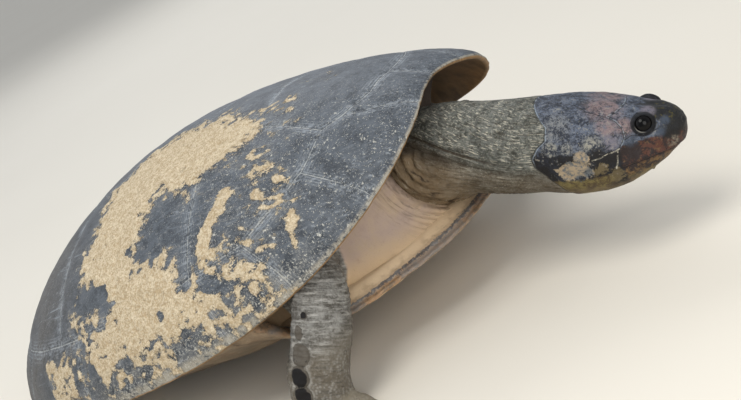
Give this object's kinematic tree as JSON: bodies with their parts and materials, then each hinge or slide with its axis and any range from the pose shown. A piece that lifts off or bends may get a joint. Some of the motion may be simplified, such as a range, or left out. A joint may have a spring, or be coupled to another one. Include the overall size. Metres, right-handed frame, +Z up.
{
  "type": "giant south american river turtle, still life-size model",
  "caption": "Life-size still model of a large side-necked river turtle standing with its neck stretched out, smooth domed shell, webbed feet and short tail.",
  "frame": {"origin": "middle of the bounding box in plan, at the level of the soles", "axes": "+X towards the head, +Y towards the turtle's left, +Z up"},
  "size_m": [0.8734, 0.567, 0.2465],
  "materials": {
    "shell": "dull horn, scuffed, with patches of dried sand",
    "plate": "worn pale horn",
    "skin": "fine wrinkled reptile skin",
    "head_skin": "smooth plated head skin",
    "eye": "wet dark eye",
    "horn": "dark horn claws"
  },
  "bodies": {
    "root": {"carapace": "shell", "eye_left": "eye", "eye_right": "eye", "fore_claw_left_1": "horn", "fore_claw_left_2": "horn", "fore_claw_left_3": "horn", "fore_claw_left_4": "horn", "fore_claw_left_5": "horn", "fore_claw_right_1": "horn", "fore_claw_right_2": "horn", "fore_claw_right_3": "horn", "fore_claw_right_4": "horn", "fore_claw_right_5": "horn", "forefoot_left": "skin", "forefoot_right": "skin", "foreleg_left": "skin", "foreleg_right": "skin", "head": "head_skin", "hind_claw_left_1": "horn", "hind_claw_left_2": "horn", "hind_claw_left_3": "horn", "hind_claw_left_4": "horn", "hind_claw_right_1": "horn", "hind_claw_right_2": "horn", "hind_claw_right_3": "horn", "hind_claw_right_4": "horn", "hindfoot_left": "skin", "hindfoot_right": "skin", "hindleg_left": "skin", "hindleg_right": "skin", "lower_jaw": "head_skin", "neck": "skin", "plastron": "plate", "tail": "skin", "trunk": "skin"}
  },
  "joints": []
}
